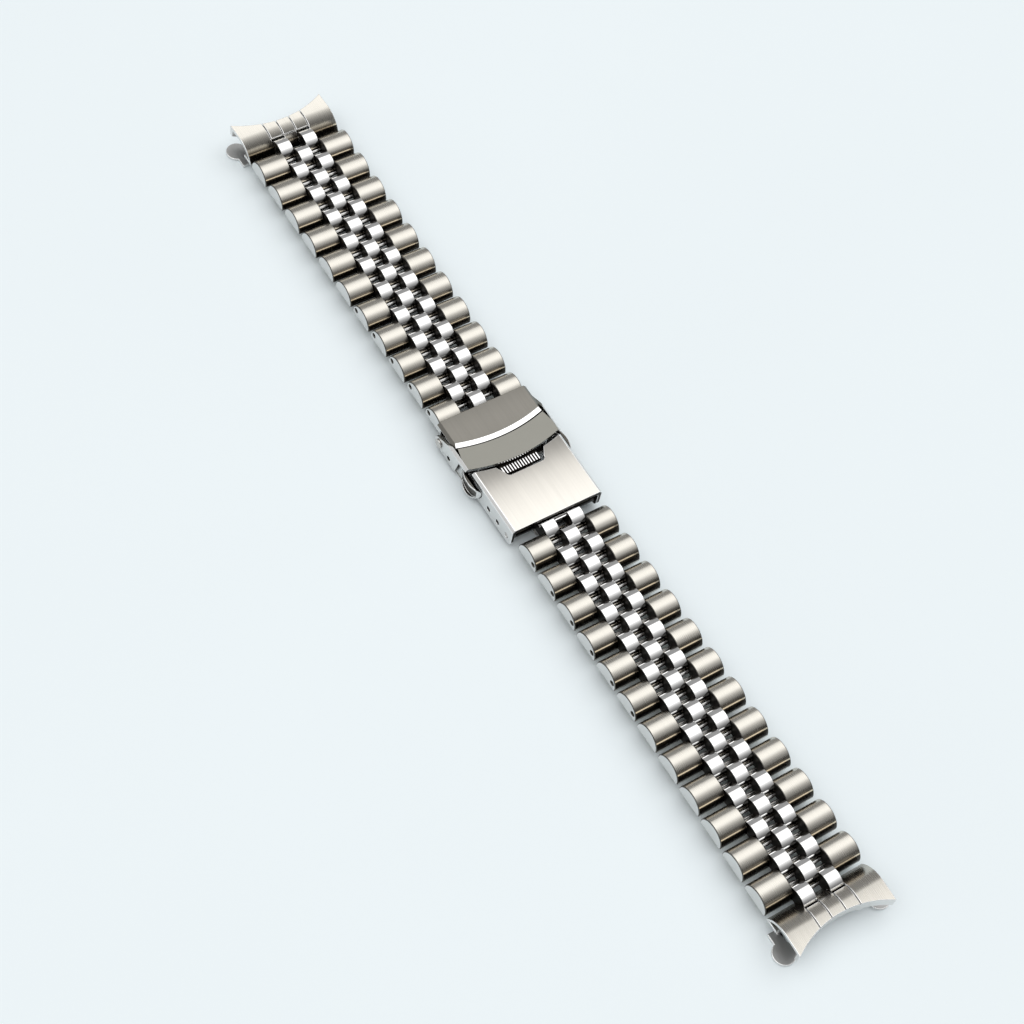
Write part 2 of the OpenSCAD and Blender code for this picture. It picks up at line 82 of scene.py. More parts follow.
class BraceletFinish(PropertyGroup):
    """Colours of the steel, some of them darker or lighter as painted shade and painted light."""
    brushed: FloatVectorProperty(
        name="Brushed steel", description="Colour of the outer links and end links",
        subtype="COLOR", default=(0.61, 0.585, 0.53), min=0, max=1)
    polished: FloatVectorProperty(
        name="Polished steel", description="Colour of the beads and of polished edges",
        subtype="COLOR", default=(0.93, 0.925, 0.905), min=0, max=1)
    # Painted light: the side faces and rims are lighter than the brushed steel, for the light that
    # they catch from the pale floor
    side: FloatVectorProperty(
        name="Side steel", description="Colour of the side faces", subtype="COLOR",
        default=(0.76, 0.76, 0.75), min=0, max=1)
    cover: FloatVectorProperty(
        name="Cover steel", description="Colour of the clasp's cover", subtype="COLOR",
        default=(0.66, 0.635, 0.585), min=0, max=1)
    # Painted shade: the flat end plate is darkened to stand for the grey reflection that a tilted
    # plate would show
    plate: FloatVectorProperty(
        name="Plate steel", description="Colour of the end plate", subtype="COLOR",
        default=(0.195, 0.186, 0.166), min=0, max=1)
    lock: FloatVectorProperty(
        name="Lock steel", description="Colour of the matte flip lock", subtype="COLOR",
        default=(0.285, 0.28, 0.25), min=0, max=1)
    pin: FloatVectorProperty(
        name="Pin steel", description="Colour of the pins", subtype="COLOR",
        default=(0.62, 0.60, 0.57), min=0, max=1)
    # Painted shade: the faces inside the gaps, inside the cover and under the clasp are near black
    gap: FloatVectorProperty(
        name="Gap steel", description="Colour of the faces inside the gaps", subtype="COLOR",
        default=(0.035, 0.03, 0.026), min=0, max=1)
    dark: FloatVectorProperty(
        name="Shaded steel", description="Colour of the inner blades", subtype="COLOR",
        default=(0.50, 0.48, 0.45), min=0, max=1)


class BraceletEdges(PropertyGroup):
    """Width of the broken edges."""
    link: FloatProperty(
        name="Link edge", description="Width of the outer links' edges", subtype="DISTANCE",
        default=0.16 * MM, min=0.01 * MM, max=0.4 * MM, precision=5)
    bead: FloatProperty(
        name="Bead edge", subtype="DISTANCE",
        description="Width of the edges of the beads, end links, cover and buttons",
        default=0.1 * MM, min=0.01 * MM, max=0.3 * MM, precision=5)
    clasp: FloatProperty(
        name="Clasp edge", subtype="DISTANCE",
        description="Width of the edges of the end plate, flip lock, blades and connector",
        default=0.06 * MM, min=0.01 * MM, max=0.2 * MM, precision=5)
    pin: FloatProperty(
        name="Pin edge", description="Width of the pins' edges", subtype="DISTANCE",
        default=0.06 * MM, min=0.01 * MM, max=0.1 * MM, precision=5)


class BraceletStudio(PropertyGroup):
    """Camera, floor and light."""
    floor: FloatVectorProperty(
        name="Floor", description="Colour of the floor", subtype="COLOR",
        default=(0.84, 0.905, 0.93), min=0, max=1)
    softbox: FloatProperty(
        name="Softbox", description="Brightness of the middle of the large softbox",
        default=1.74, min=0, max=4)
    field: FloatProperty(
        name="Field of view", description="Camera's angle of view", subtype="ANGLE",
        default=math.radians(28.03), min=math.radians(5), max=math.radians(90))


# Shader maths

class Wire:
    """A shader socket that Python's arithmetic works on."""

    def __init__(self, paint, socket):
        self.paint = paint
        self.socket = socket

    def __add__(self, other):
        return self.paint.maths("ADD", self, other)

    def __sub__(self, other):
        return self.paint.maths("SUBTRACT", self, other)

    def __rsub__(self, other):
        return self.paint.maths("SUBTRACT", other, self)

    def __mul__(self, other):
        return self.paint.maths("MULTIPLY", self, other)

    def __truediv__(self, other):
        return self.paint.maths("DIVIDE", self, other)

    def __rtruediv__(self, other):
        return self.paint.maths("DIVIDE", other, self)

    __radd__ = __add__
    __rmul__ = __mul__

    def rise(self, start, end):
        """0 below start and 1 above end, with a smooth step between them."""
        return self.paint.node(
            "ShaderNodeMapRange", {"interpolation_type": "SMOOTHSTEP"},
            {"Value": self, "From Min": start, "From Max": end, "To Min": 0.0, "To Max": 1.0})


class Paint:
    """One node tree under construction."""

    # A Mix node's sockets for two colours and for their mix
    MIX_LOW = 6
    MIX_HIGH = 7
    MIX_RESULT = 2

    def __init__(self, tree):
        self.tree = tree
        tree.nodes.clear()

    def node(self, kind, settings=None, inputs=None, output=0):
        """Adds a node with its settings, links or fills its sockets, and gives one output."""
        made = self.tree.nodes.new(kind)
        for key, value in (settings or {}).items():
            if key == "stops":
                set_stops(made.color_ramp.elements, value)
            else:
                setattr(made, key, value)
        for key, value in (inputs or {}).items():
            if isinstance(value, Wire):
                self.tree.links.new(value.socket, made.inputs[key])
            else:
                made.inputs[key].default_value = value
        return Wire(self, made.outputs[output]) if made.outputs else None

    def maths(self, operation, *values):
        return self.node("ShaderNodeMath", {"operation": operation}, dict(enumerate(values)))

    def stretch(self, vector, scale):
        return self.node("ShaderNodeVectorMath", {"operation": "MULTIPLY"},
                         {0: vector, 1: scale})

    def noise(self, vector, detail=2.0):
        return self.node("ShaderNodeTexNoise", None,
                         {"Vector": vector, "Scale": 1.0, "Detail": detail})

    def blend(self, mask, low, high, mode="MIX"):
        """Mixes two colours by a mask."""
        mix = self.node("ShaderNodeMix", {"data_type": "RGBA", "blend_type": mode},
                        {0: mask, self.MIX_LOW: low, self.MIX_HIGH: high})
        return Wire(self, mix.socket.node.outputs[self.MIX_RESULT])

    def axes(self, vector):
        parts = self.node("ShaderNodeSeparateXYZ", None, {0: vector}).socket.node.outputs
        return [Wire(self, parts[axis]) for axis in range(3)]


def set_stops(elements, stops):
    """Gives a colour ramp its stops, each a place and a colour."""
    while len(elements) < len(stops):
        elements.new(1.0)
    for element, (place, colour) in zip(elements, sorted(stops)):
        element.position = place
        element.color = colour


def toned(colour, level):
    """A darker or lighter tone of a colour."""
    return tuple(min(1.0, c * level) for c in colour)


def shade(colour, level=1):
    """A tone of a colour with the alpha that a colour socket takes."""
    return toned(colour, level) + (1.0,)


def new_paint(name):
    material = bpy.data.materials.new(name)
    material.use_nodes = True
    return material, Paint(material.node_tree)


# Steel

# Tones of the darkest and the lightest lines in the steel
DARK_LINE = 0.82
LIGHT_LINE = 1.12
# Broad lines: their number and their strength against the fine ones
BROAD_GRAIN = 0.28
BROAD_STREAK = 0.8
# Smudges in a metre, and how far they and the lines change the roughness
SMUDGE_GRAIN = 160
SMUDGE_ROUGHNESS = 0.04
LINE_ROUGHNESS = 0.12
LINE_DETAIL = 3.0
LINE_DEPTH = 0.01 * MM
# Noise and masks swing round this value
MIDWAY = 0.5


def even(count):
    """The same number of specks along each axis."""
    return (count, count, count)


# Lines in a metre along each axis
LINK_GRAIN = (250, 5200, 300)
CLASP_GRAIN = (90, 3600, 300)
CLASP_SIDE_GRAIN = even(1200)
DISH_GRAIN = (5500, 200, 200)


def steel(name, colour, roughness, streak=0.3, grain=LINK_GRAIN, bump=0.1, bands=None,
          crown=None):
    """Steel with fine lines. streak is how strong they are, bump how deep.

    bands are the stops of the painted shade and highlight bands on a link's back and how far they
    sink towards -X.
    crown bends the light along the strap as on a slight crown: its middle, radius and slope.
    """
    material, paint = new_paint(name)
    place = paint.node("ShaderNodeTexCoord", output="Object")
    x, y, z = paint.axes(place)
    lines = paint.noise(paint.stretch(place, grain), LINE_DETAIL)
    broad = paint.noise(paint.stretch(place, tuple(g * BROAD_GRAIN for g in grain)))
    smudge = paint.noise(paint.stretch(place, even(SMUDGE_GRAIN)))
    fine_tone = (lines - MIDWAY) * streak
    tone = fine_tone + (broad - MIDWAY) * (streak * BROAD_STREAK) + MIDWAY
    tint = paint.blend(tone, shade(colour, DARK_LINE), shade(colour, LIGHT_LINE))
    if bands:
        tint = paint_shade_bands(paint, tint, bands, x, z)
    height = (lines - MIDWAY) * (bump * LINE_DEPTH)
    if crown:
        middle, radius, slope = crown
        away = x - middle
        height = height + away * slope - away * away * (0.5 / radius)
    line_wear = (lines - MIDWAY) * (streak * LINE_ROUGHNESS)
    smudge_wear = (smudge - MIDWAY) * SMUDGE_ROUGHNESS
    normal = paint.node("ShaderNodeBump", None,
                        {"Strength": 1.0, "Distance": 1.0, "Height": height})
    shader = paint.node("ShaderNodeBsdfPrincipled", None,
                        {"Base Color": tint, "Metallic": 1.0,
                         "Roughness": line_wear + smudge_wear + roughness, "Normal": normal})
    paint.node("ShaderNodeOutputMaterial", None, {"Surface": shader})
    return material


# Places along the strap between which the painted shade bands sink
SINK_START = -40 * MM
SINK_END = 20 * MM
# How far a face leans towards +X where its painted shade bands start and where they are full
LEAN_START = 0.15
LEAN_FULL = 0.4


def paint_shade_bands(paint, tint, bands, x, z):
    """Painted shade and painted highlight bands low on the side of a link that faces +X, by
    height.
    """
    normal = paint.node("ShaderNodeTexCoord", output="Normal")
    lean = paint.axes(normal)[0]
    stops, shift = bands
    sink = (1 - x.rise(SINK_START, SINK_END)) * shift
    level = (z - BASE_HEIGHT) / LINK_HEIGHT + sink
    ramp = paint.node("ShaderNodeValToRGB", {"stops": stops}, {0: level})
    banded_tint = paint.blend(1.0, tint, ramp, "MULTIPLY")
    return paint.blend(lean.rise(LEAN_START, LEAN_FULL), tint, banded_tint)


# Near black steel as painted shade, for faces in the gaps, inside the cover and under the clasp
def gap_shade_steel(finish, name):
    return steel(name, finish.gap, roughness=0.45)


# The clasp's side faces in the lighter side steel, as painted light
def lit_side_steel(finish, name):
    return steel(name, finish.side, roughness=0.33, grain=CLASP_SIDE_GRAIN)


def polished_edge(finish, name, roughness):
    return steel(name, finish.polished, roughness, streak=0.1, bump=0.02)


# Meshes

# Corners nearer to each other than this many metres are one
WELD = 1e-6
# Faces within the first angle are joined into one, and edges sharper than the second are broken
FLAT_ANGLE = math.radians(0.6)
SHARP_ANGLE = math.radians(32)
# Faces with more corners are split, because a broken edge can turn them inside out
MANY_CORNERS = 8
# Slot number with which broken edges take a neighbouring face's material
NEIGHBOUR_SLOT = -1


def islands(mesh):
    """The closed solids of a mesh, each as its own bmesh with its planar faces joined."""
    whole = bmesh.new()
    whole.from_mesh(mesh)
    bmesh.ops.remove_doubles(whole, verts=whole.verts, dist=WELD)
    bmesh.ops.dissolve_limit(whole, angle_limit=FLAT_ANGLE, verts=whole.verts,
                             edges=whole.edges)
    seen = set()
    solids = []
    for start in whole.faces:
        if start not in seen:
            group = joined_faces(start)
            seen.update(group)
            solids.append(copy_faces(group))
    whole.free()
    return solids


def joined_faces(start):
    """A face and all that are joined to it over edges, in the same order each run."""
    group = [start]
    found = {start}
    for face in group:
        for edge in face.edges:
            for other in edge.link_faces:
                if other not in found:
                    found.add(other)
                    group.append(other)
    return group


def copy_faces(faces):
    solid = bmesh.new()
    made = {}
    for face in faces:
        for vert in face.verts:
            if vert not in made:
                made[vert] = solid.verts.new(vert.co)
        solid.faces.new([made[v] for v in face.verts])
    return solid


def reach(solid):
    """Lowest and highest corner of one solid."""
    low = Vector([min(v.co[axis] for v in solid.verts) for axis in range(3)])
    high = Vector([max(v.co[axis] for v in solid.verts) for axis in range(3)])
    return low, high


def make_piece(name, solids, materials, edge, split=False, rim=None):
    """One object from several solids, with its sharp edges broken.

    split cuts up faces with many corners, and rim is the broken edges' own material.
    """
    mesh = bpy.data.meshes.new(name)
    joined = bmesh.new()
    for solid in solids:
        part = bpy.data.meshes.new(name + "_part")
        solid.to_mesh(part)
        joined.from_mesh(part)
        bpy.data.meshes.remove(part)
    wide = [face for face in joined.faces if split and len(face.verts) > MANY_CORNERS]
    bmesh.ops.triangulate(joined, faces=wide)
    for face in joined.faces:
        face.smooth = True
    joined.to_mesh(mesh)
    joined.free()
    for material in materials:
        mesh.materials.append(material)
    mesh.set_sharp_from_angle(angle=SHARP_ANGLE)
    piece = bpy.data.objects.new(name, mesh)
    bpy.context.scene.collection.objects.link(piece)
    bevel = piece.modifiers.new("Broken edges", "BEVEL")
    bevel.width = edge
    bevel.segments = 2
    bevel.material = materials.index(rim) if rim else NEIGHBOUR_SLOT
    bevel.limit_method = "ANGLE"
    bevel.angle_limit = SHARP_ANGLE
    bevel.use_clamp_overlap = False
    bevel.loop_slide = False
    bevel.harden_normals = True
    return piece


def colour_faces(solid, rule):
    """Gives each face of a solid the material slot that a rule picks."""
    solid.normal_update()
    low, high = reach(solid)
    middle = (low + high) / 2
    for face in solid.faces:
        face.material_index = rule(face.normal, face.calc_center_median(), middle)


def seat(piece, node):
    """Puts a dressed piece in the place of the node that it was made from."""
    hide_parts(node)
    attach(piece, frame["nodes"][node]["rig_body"])


def dress(node, materials, edge, rule=None, split=False, rim=None):
    """Makes the one piece that stands for a node."""
    solids = islands(frame["nodes"][node].data)
    if rule:
        for solid in solids:
            colour_faces(solid, rule)
    piece = make_piece(node + "_steel", solids, materials, edge, split, rim)
    seat(piece, node)


def named(part):
    return sorted(node for node in frame["nodes"] if part in node)


# Which slot a face takes

# A slope is the share of a face's normal along one axis: from this one on it is square to it
SQUARE = 0.9


def link_face(normal, spot, middle):
    """Slot of an outer link's face: 0 for the back, 1 for the outer side, 2 in the gap, in painted
    shade.
    """
    if abs(normal.y) < SQUARE:
        return 0
    return 1 if normal.y * middle.y > 0 else 2


# A bead's lips: reach along the strap, height over the underside, and how flat their tops are
LIP_REACH = 0.12 * MM
LIP_HEIGHT = 1.3 * MM
LIP_FLATNESS = 0.45
UNDERSIDE_SLOPE = -0.5


def bead_face(normal, spot, middle):
    """Slot of a bead's face: 0 for the back, 1 in the gap and underneath, in painted shade, 2 on a
    lip.
    """
    if abs(spot.x - middle.x) > BEAD_HALF - LIP_REACH and spot.z < BASE_HEIGHT + LIP_HEIGHT:
        return 2 if normal.z > LIP_FLATNESS else 1
    return 1 if abs(normal.y) > SQUARE or normal.z < UNDERSIDE_SLOPE else 0


# The tongues and their posts end this far under the folded sheet
TONGUE_DROP = 0.1 * MM
SHEET_SLOPE = 0.05


def end_link_face(normal, spot, middle):
    """Slot of an end link's face: 0 for the sheet, 1 for its rims, 2 on the tongues."""
    if spot.z < BASE_HEIGHT - TONGUE_DROP:
        return 2 if normal.z > SQUARE else 1
    towards_strap = abs(normal.x) > SQUARE and spot.x * normal.x < 0
    return 0 if normal.z > SHEET_SLOPE or towards_strap else 1


# The clasp's and the cover's top faces lie above these heights
CLASP_TOP = 5 * MM
COVER_TOP = 5.5 * MM
# The outer faces and the ends of the clasp's walls lie further than this from its middle
WALL_OUTSIDE = 9.2 * MM
WALL_END = 9 * MM
SHOULDER_SLOPE = 0.3


def cover_face(normal, spot, middle):
    """Slot of a cover's face: 0 for the top, 1 for the sides, 2 inside, in painted shade."""
    if normal.z > SQUARE and spot.z > COVER_TOP:
        return 0
    wall = normal.y * spot.y > 0 and abs(spot.y) > WALL_OUTSIDE
    wall_end = abs(normal.x) > SQUARE and abs(spot.y) > WALL_END
    return 1 if normal.z > SHOULDER_SLOPE or wall or wall_end else 2


# The plate's top and its polished edge by their slopes, and the heights about the ribs' tops
PLATE_SLOPE = 0.6
PLATE_EDGE_SLOPE = 0.12
RIBS_BOTTOM = 4.62 * MM
RIBS_TOP = 4.7 * MM


def plate_face(normal, spot, middle):
    """Slot of an end plate's face: 0 plate, 1 sides, 2 in the notch, in painted shade, 3 polished
    edge or rib.
    """
    if spot.z > CLASP_TOP and normal.z > PLATE_SLOPE:
        return 3 if normal.x > PLATE_EDGE_SLOPE else 0
    if RIBS_BOTTOM < spot.z < RIBS_TOP and normal.z > SQUARE:
        return 3
    wall = abs(normal.y) > SQUARE and abs(spot.y) > WALL_OUTSIDE
    return 1 if wall or normal.x < -SQUARE else 2


LOCK_SIDE_SLOPE = 0.5


def lock_face(normal, spot, middle):
    """Slot of the flip lock's face: 0 matte top, 1 side arms, 2 underneath, in painted shade, 3
    rear rim.
    """
    if normal.z > SQUARE:
        return 0
    if abs(normal.y) > LOCK_SIDE_SLOPE and normal.y * spot.y > 0:
        return 1
    return 3 if normal.x > LOCK_SIDE_SLOPE and spot.z > CLASP_TOP else 2


# From the clasp's middle, a button's stem ends at the first and its dish lies within the second
STEM_END = 9.65 * MM
DISH_DEPTH = 10.3 * MM
BUTTON_TOP_SLOPE = 0.7


def button_face(normal, spot, middle):
    """Slot of a button's face: 0 for the rim, 1 for the dish, its inner side and the flat top, in
    painted shade.
    """
    if abs(spot.y) < STEM_END:
        return 0
    inward = (spot.x - middle.x) * normal.x + (spot.z - middle.z) * normal.z < 0
    floor = abs(normal.y) > SQUARE and abs(spot.y) < DISH_DEPTH
    return 1 if floor or inward or normal.z > BUTTON_TOP_SLOPE else 0


# Links and beads

OWN_COLOUR = (1, 1, 1, 1)
# Painted shade and highlight up a bead's back, by share of a link's height: shade, a thin warm
# painted highlight line, shade, its own colour
PAINTED_SHADE_FOOT = shade((0.04, 0.038, 0.035))
BEAD_PAINTED_BANDS = ((0.0, PAINTED_SHADE_FOOT), (0.40, PAINTED_SHADE_FOOT), (0.45, (1, 0.9, 0.75, 1)),
              (0.53, (1, 0.92, 0.8, 1)), (0.58, PAINTED_SHADE_FOOT), (0.66, PAINTED_SHADE_FOOT),
              (0.74, OWN_COLOUR))
# Painted shade and highlights up a link's back: shade, a thin painted light line, shade, a warm
# painted highlight line, then slowly its own colour
PAINTED_SHADE_BAND = shade((0.05, 0.045, 0.04))
PAINTED_LIGHT_BAND = (1.5, 1.5, 1.48, 1)
PAINTED_WARM_BAND = (1.5, 1.36, 1.16, 1)
LINK_PAINTED_BANDS = ((0.0, PAINTED_SHADE_BAND), (0.13, PAINTED_SHADE_BAND), (0.17, PAINTED_LIGHT_BAND), (0.20, PAINTED_LIGHT_BAND),
              (0.23, PAINTED_SHADE_BAND), (0.645, PAINTED_SHADE_BAND), (0.67, PAINTED_WARM_BAND), (0.70, PAINTED_WARM_BAND),
              (0.73, shade((0.22, 0.20, 0.18))), (0.80, shade((0.5, 0.48, 0.46))),
              (0.88, OWN_COLOUR))
LINK_SINK = 0.15
# Middle, radius and slope of the crown that turns the light slowly along the whole strap
STRAP_CROWN = (-0.025, 0.64, 0)
# Tones of the painted shadow lines round the links and of the pins darkened as painted shade, and
# of the beads' lips
SHADOW_TONE = 0.2
LIP_TONE = 0.6
# A pin is lower than this, and a centre bead lies within this of the strap's middle
PIN_HEIGHT = 1.2 * MM
CENTRE_BEAD_HALF = 2 * MM


def bead_materials(finish, name):
    """Polished back with painted shade and highlight bands, gap sides in painted shade, and lips
    that catch the light on top.
    """
    back = steel(name, finish.polished, roughness=0.09, streak=0.12, bump=0.01,
                 bands=(BEAD_PAINTED_BANDS, 0))
    lip = steel(name + "_lip", toned(finish.polished, LIP_TONE), roughness=0.2, streak=0.2,
                bump=0.02)
    return [back, gap_shade_steel(finish, name + "_gap"), lip]


def row_piece(solid):
    """Ending of the name of the piece that a solid of an outer row belongs to."""
    low, high = reach(solid)
    if high.z - low.z < PIN_HEIGHT:
        return "_pins"
    centre = high.y < CENTRE_BEAD_HALF and low.y > -CENTRE_BEAD_HALF
    return "_bead" if centre else "_links"


class BRACELET_OT_outer_rows(Operator):
    """Make the brushed outer links, the centre beads and the pins of every row"""
    bl_idname = "bracelet.outer_rows"
    bl_label = "Outer rows"

    def execute(self, context):
        finish = context.scene.bracelet_finish
        edges = context.scene.bracelet_edges
        back = steel("brushed_link", finish.brushed, roughness=0.27, streak=0.14, bump=0.03,
                     bands=(LINK_PAINTED_BANDS, LINK_SINK), crown=STRAP_CROWN)
        # The outer sides of the links in the lighter side steel, as painted light
        side = steel("link_side", finish.side, roughness=0.35, streak=0.25, grain=even(900))
        gap = gap_shade_steel(finish, "link_gap")
        # The links' broken edges are darkened as a painted shadow line
        shadow_outline = steel("link_outline", toned(finish.brushed, SHADOW_TONE), roughness=0.35,
                        streak=0.2)
        beads = bead_materials(finish, "polished_bead")
        # The pins in the rows are darkened as painted shade between the beads
        pin = steel("pin_steel", toned(finish.pin, SHADOW_TONE), roughness=0.3, streak=0.2)
        rules = {"_links": link_face, "_bead": bead_face}
        for node in named("outer_row"):
            groups = {"_links": [], "_bead": [], "_pins": []}
            for solid in islands(frame["nodes"][node].data):
                kind = row_piece(solid)
                if kind in rules:
                    colour_faces(solid, rules[kind])
                groups[kind].append(solid)
            for kind, materials, edge, slot, rim in (
                    ("_links", [back, side, gap, shadow_outline], edges.link, "brushed_link", shadow_outline),
                    ("_bead", beads, edges.bead, "polished_bead", None),
                    ("_pins", [pin], edges.pin, "pin_steel", None)):
                piece = make_piece(node + kind, groups[kind], materials, edge, rim=rim)
                seat(piece, node)
        return {"FINISHED"}


class BRACELET_OT_side_beads(Operator):
    """Make the polished beads on both sides of the centre beads"""
    bl_idname = "bracelet.side_beads"
    bl_label = "Side beads"

    def execute(self, context):
        beads = bead_materials(context.scene.bracelet_finish, "polished_side_bead")
        for node in named("inner_row"):
            dress(node, beads, context.scene.bracelet_edges.bead, bead_face)
        return {"FINISHED"}


# End links

# Tone of each sheet against the brushed steel, its painted shade and highlight bands and its crown
END_SHEETS = {
    "upper_end_link": (0.98, (LINK_PAINTED_BANDS, LINK_SINK), (-0.0977, 0.034, -0.36)),
    "lower_end_link": (0.9, None, (0.0975, 0.0325, 0.1)),
}
TONGUE_TONE = 0.5


class BRACELET_OT_end_links(Operator):
    """Make the folded end links that meet the watch"""
    bl_idname = "bracelet.end_links"
    bl_label = "End links"

    def execute(self, context):
        finish = context.scene.bracelet_finish
        rim = steel("end_link_rim", finish.side, roughness=0.3, streak=0.2)
        tongue = steel("tongue_steel", toned(finish.side, TONGUE_TONE), roughness=0.45,
                       streak=0.4)
        shine = polished_edge(finish, "end_link_edge", 0.25)
        for node, (tone, bands, crown) in END_SHEETS.items():
            sheet = steel(node + "_sheet", toned(finish.brushed, tone), roughness=0.27,
                          streak=0.4, bands=bands, crown=crown)
            dress(node, [sheet, rim, tongue, shine],
                  context.scene.bracelet_edges.bead, end_link_face, split=True, rim=shine)
        return {"FINISHED"}


# Clasp

# Middle, radius and slope of the crowns that turn the light over the flat tops
COVER_CROWN = (0.0035, 0.035, 0)
PLATE_CROWN = (-0.0195, 0.06, 0)
# Tone of the buttons' dishes against the plate steel: darkened as painted shade for the dark
# reflection in a dished face
DISH_SHADE_TONE = 0.5


class BRACELET_OT_clasp_cover(Operator):
    """Make the cover of the clasp"""
    bl_idname = "bracelet.clasp_cover"
    bl_label = "Clasp cover"

    def execute(self, context):
        finish = context.scene.bracelet_finish
        top = steel("cover_steel", finish.cover, roughness=0.30, streak=0.5, grain=CLASP_GRAIN,
                    crown=COVER_CROWN)
        side = lit_side_steel(finish, "cover_side")
        inside = gap_shade_steel(finish, "cover_inside")
        shine = polished_edge(finish, "cover_edge", 0.2)
        dress("clasp_cover", [top, side, inside, shine],
              context.scene.bracelet_edges.bead, cover_face, split=True, rim=shine)
        return {"FINISHED"}


class BRACELET_OT_flip_lock(Operator):
    """Make the end plate, the matte flip lock and its pivots"""
    bl_idname = "bracelet.flip_lock"
    bl_label = "End plate and flip lock"

    def execute(self, context):
        finish = context.scene.bracelet_finish
        edges = context.scene.bracelet_edges
        # The end plate in its darkened steel, as painted shade
        plate = steel("plate_steel", finish.plate, roughness=0.33, streak=0.5,
                      grain=CLASP_GRAIN, bump=0.2, crown=PLATE_CROWN)
        lock = steel("matte_lock_steel", finish.lock, roughness=0.42, streak=0.12,
                     grain=even(2500))
        side = lit_side_steel(finish, "clasp_side")
        shine = polished_edge(finish, "clasp_edge", 0.15)
        dark = gap_shade_steel(finish, "clasp_gap")
        pin = steel("pivot_steel", finish.pin, roughness=0.25, streak=0.2)
        dress("end_plate", [plate, side, dark, shine], edges.clasp, plate_face,
              split=True)
        dress("flip_lock", [lock, side, dark, shine], edges.clasp,
              lock_face, split=True)
        dress("flip_lock_pins", [pin], edges.pin)
        return {"FINISHED"}


class BRACELET_OT_push_buttons(Operator):
    """Make the half-moon push buttons"""
    bl_idname = "bracelet.push_buttons"
    bl_label = "Push buttons"

    def execute(self, context):
        finish = context.scene.bracelet_finish
        rim = steel("button_rim", finish.side, roughness=0.25, streak=0.2)
        dish = steel("button_dish", toned(finish.plate, DISH_SHADE_TONE), roughness=0.35, streak=1.2,
                     grain=DISH_GRAIN)
        for node in named("push_button"):
            dress(node, [rim, dish], context.scene.bracelet_edges.bead,
                  button_face, split=True, rim=rim)
        return {"FINISHED"}


class BRACELET_OT_folding_blades(Operator):
    """Make the folding blades, the connector and their pins"""
    bl_idname = "bracelet.folding_blades"
    bl_label = "Folding blades"

    def execute(self, context):
        finish = context.scene.bracelet_finish
        edges = context.scene.bracelet_edges
        blade = steel("blade_steel", finish.dark, roughness=0.3)
        pin = steel("clasp_pin_steel", finish.pin, roughness=0.25, streak=0.2)
        for node in ("middle_blade", "lower_blade"):
            dress(node, [blade], edges.clasp, split=True)
        dress("clasp_connector", bead_materials(finish, "connector"),
              edges.clasp, bead_face)
        for node in ("cover_hinge_pin", "blade_hinge_pin", "spring_bar"):
            dress(node, [pin], edges.pin)
        return {"FINISHED"}


# Studio

CAMERA_PLACE = Vector((0.14842, -0.14193, 0.31507))
CAMERA_RIGHT = Vector((0.5225, 0.8435, 0.1242)).normalized()
CAMERA_FORWARD = Vector((-0.3917, 0.3669, -0.8438)).normalized()
CAMERA_NEAR = 10 * MM


def add_camera(field):
    data = bpy.data.cameras.new("camera")
    data.angle = field
    data.clip_start = CAMERA_NEAR
    camera = bpy.data.objects.new("camera", data)
    up = CAMERA_RIGHT.cross(CAMERA_FORWARD)
    right = CAMERA_FORWARD.cross(up)
    turn = Matrix((right, up, -CAMERA_FORWARD)).transposed()
    camera.matrix_world = Matrix.Translation(CAMERA_PLACE) @ turn.to_4x4()
    bpy.context.scene.collection.objects.link(camera)
    bpy.context.scene.camera = camera


FLOOR_HALF = 1.5
# Pale clouds in a metre of floor, and how far they change its colour
FLOOR_CLOUDS = 9
FLOOR_CHANGE = 0.02


def add_floor(colour):
    far = FLOOR_HALF
    mesh = bpy.data.meshes.new("floor")
    mesh.from_pydata([(-far, -far, 0), (far, -far, 0), (far, far, 0), (-far, far, 0)],
                     [], [(0, 1, 2, 3)])
    floor = bpy.data.objects.new("floor", mesh)
    bpy.context.scene.collection.objects.link(floor)
    material, paint = new_paint("floor")
    place = paint.node("ShaderNodeTexCoord", output="Object")
    cloud = paint.noise(paint.stretch(place, even(FLOOR_CLOUDS)))
    tint = paint.blend(cloud, shade(colour, 1 - FLOOR_CHANGE), shade(colour, 1 + FLOOR_CHANGE))
    shader = paint.node("ShaderNodeBsdfPrincipled", None,
                        {"Base Color": tint, "Roughness": 0.8, "Specular IOR Level": 0.1})
    paint.node("ShaderNodeOutputMaterial", None, {"Surface": shader})
    mesh.materials.append(material)


# Brightness of the room along the strap: degrees from straight up towards +X, share of the softbox
ROOM_STOPS = ((-110, 0.14), (-75, 0.20), (-45, 0.20), (-41, 0.70), (-12, 1.0), (12, 1.0),
              (31, 0.50), (47, 0.27), (60, 0.16), (75, 0.07), (95, 0.02), (110, 0.01))
# Degrees across the strap, from straight up towards +Y, where the softbox starts and ends
SOFTBOX_START = (-60, -35)
SOFTBOX_END = (50, 68)
# Pale walls round the softbox: the degrees over which they fade, and their brightness
BACK_WALL_FADE = (-60, 10)
BACK_WALL = 0.3
SIDE_WALL_FADE = (-58, -38)
SIDE_WALL = 0.5
ROOM_DARK = 0.03
DEGREE = math.radians(1)
TURN = 360


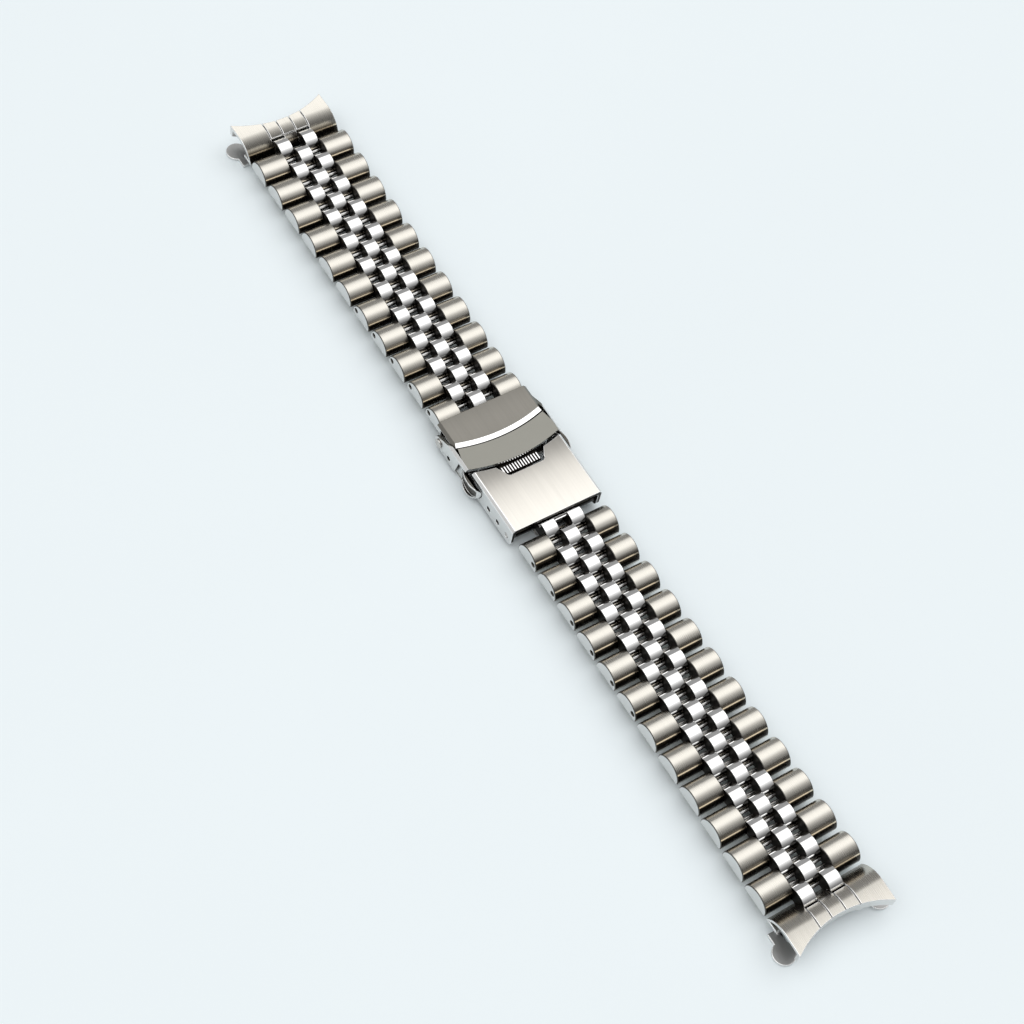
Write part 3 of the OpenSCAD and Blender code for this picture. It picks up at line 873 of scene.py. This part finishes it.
def add_room(studio):
    """A room with a wide softbox overhead, pale walls towards -X and dark ones towards +X."""
    world = bpy.data.worlds.new("studio")
    world.use_nodes = True
    bpy.context.scene.world = world
    paint = Paint(world.node_tree)
    x, y, z = paint.axes(paint.node("ShaderNodeTexCoord", output="Generated"))
    along = paint.maths("ARCTAN2", x, z) / DEGREE
    across = paint.maths("ARCSINE", y) / DEGREE
    stops = [((place + TURN / 2) / TURN, shade((level, level, level)))
             for place, level in ROOM_STOPS]
    glow = paint.node("ShaderNodeValToRGB", {"stops": stops}, {0: (along + TURN / 2) / TURN})
    window = across.rise(*SOFTBOX_START) * (1 - across.rise(*SOFTBOX_END))
    back_wall = (1 - along.rise(*BACK_WALL_FADE)) * BACK_WALL
    side_wall = (1 - across.rise(*SIDE_WALL_FADE)) * SIDE_WALL
    walls = (back_wall + side_wall + ROOM_DARK) * (1 - window)
    room = paint.node("ShaderNodeBackground", None,
                      {"Color": (1, 1, 1, 1), "Strength": glow * studio.softbox * window + walls})
    pale = paint.node("ShaderNodeBackground", None, {"Color": shade(studio.floor)})
    camera_ray = paint.node("ShaderNodeLightPath", output="Is Camera Ray")
    shown = paint.node("ShaderNodeMixShader", None, {0: camera_ray, 1: room, 2: pale})
    paint.node("ShaderNodeOutputWorld", None, {"Surface": shown})


class BRACELET_OT_stage(Operator):
    """Set up the floor, the light and the camera"""
    bl_idname = "bracelet.stage"
    bl_label = "Stage"

    def execute(self, context):
        studio = context.scene.bracelet_studio
        context.scene.view_settings.view_transform = "Standard"
        add_camera(studio.field)
        add_floor(studio.floor)
        add_room(studio)
        return {"FINISHED"}


PIECES = (BRACELET_OT_outer_rows, BRACELET_OT_side_beads, BRACELET_OT_end_links,
          BRACELET_OT_clasp_cover, BRACELET_OT_flip_lock, BRACELET_OT_push_buttons,
          BRACELET_OT_folding_blades, BRACELET_OT_stage)
SETTINGS = {"bracelet_finish": BraceletFinish, "bracelet_edges": BraceletEdges,
            "bracelet_studio": BraceletStudio}


class BRACELET_PT_pieces(Panel):
    """Lists the bracelet's sizes, colours and pieces."""
    bl_label = "Steel watch bracelet"
    bl_space_type = "VIEW_3D"
    bl_region_type = "UI"
    bl_category = "Bracelet"

    def draw(self, context):
        for name, group in SETTINGS.items():
            box = self.layout.box()
            for key in group.__annotations__:
                box.prop(getattr(context.scene, name), key)
        for piece in PIECES:
            self.layout.operator(piece.bl_idname)


def register():
    for group in SETTINGS.values():
        bpy.utils.register_class(group)
    for name, group in SETTINGS.items():
        setattr(bpy.types.Scene, name, PointerProperty(type=group))
    for piece in PIECES:
        bpy.utils.register_class(piece)
    bpy.utils.register_class(BRACELET_PT_pieces)


def unregister():
    bpy.utils.unregister_class(BRACELET_PT_pieces)
    for piece in reversed(PIECES):
        bpy.utils.unregister_class(piece)
    for name, group in SETTINGS.items():
        delattr(bpy.types.Scene, name)
        bpy.utils.unregister_class(group)


def main():
    register()
    for operator in (bpy.ops.bracelet.outer_rows, bpy.ops.bracelet.side_beads,
                     bpy.ops.bracelet.end_links, bpy.ops.bracelet.clasp_cover,
                     bpy.ops.bracelet.flip_lock, bpy.ops.bracelet.push_buttons,
                     bpy.ops.bracelet.folding_blades, bpy.ops.bracelet.stage):
        operator()


if __name__ == "__main__":
    main()
